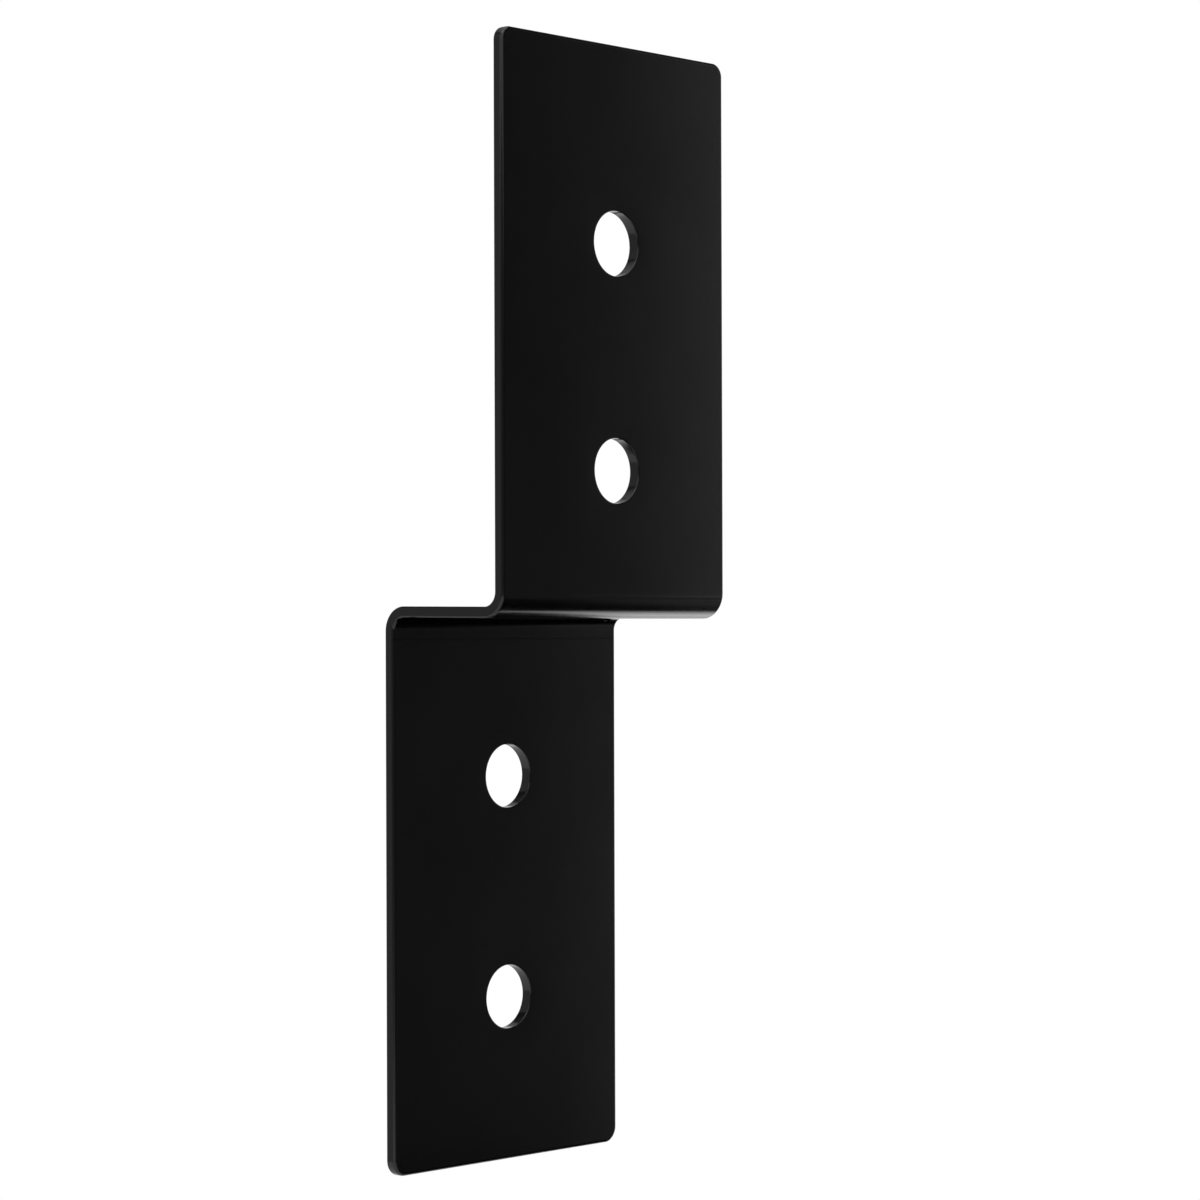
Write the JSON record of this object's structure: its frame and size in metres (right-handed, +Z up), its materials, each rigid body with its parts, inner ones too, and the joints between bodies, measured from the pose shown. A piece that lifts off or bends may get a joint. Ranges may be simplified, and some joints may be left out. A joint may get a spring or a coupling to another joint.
{
  "type": "joist tie",
  "caption": "Folded steel strip that hangs a joist on the face of a post: an upper leg, a seat under the joist and an offset lower leg, each leg with bolt holes.",
  "frame": {"origin": "on the back face of the lower leg, midway between its two bolt holes", "axes": "+X across the strip, +Y out of the back face and into the post, +Z up along the legs"},
  "size_m": [0.0832, 0.0411, 0.284],
  "materials": {
    "black_powder_coat": "satin black powder coat over folded steel sheet"
  },
  "bodies": {
    "root": {"joist_tie": "black_powder_coat"}
  },
  "joints": []
}
